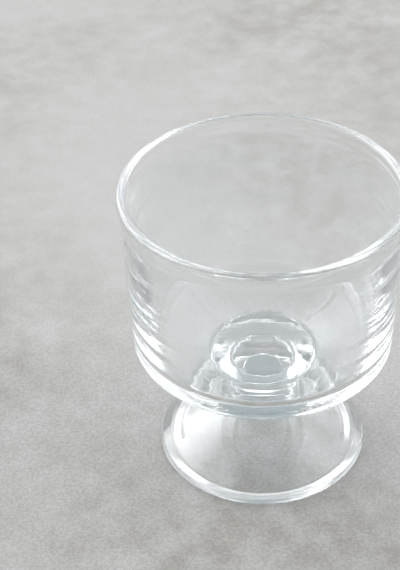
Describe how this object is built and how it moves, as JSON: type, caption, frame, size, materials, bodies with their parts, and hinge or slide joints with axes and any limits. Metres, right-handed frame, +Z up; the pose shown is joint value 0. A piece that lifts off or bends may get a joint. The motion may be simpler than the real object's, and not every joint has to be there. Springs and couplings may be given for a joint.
{
  "type": "parfait glass",
  "caption": "Footed dessert glass with a deep thick-walled bowl, a short waisted stem and a hollow conical foot.",
  "frame": {"origin": "centre of the foot's resting ring, on the table", "axes": "+Z up along the axis of the glass; X and Y are level and interchangeable, because the glass is round"},
  "size_m": [0.09, 0.09, 0.1],
  "materials": {
    "clear_glass": "clear and fire-polished, with a faint cool tint in the thick parts and gentle rings round the wall"
  },
  "bodies": {
    "root": {"bowl": "clear_glass", "stem": "clear_glass", "foot": "clear_glass"}
  },
  "joints": []
}
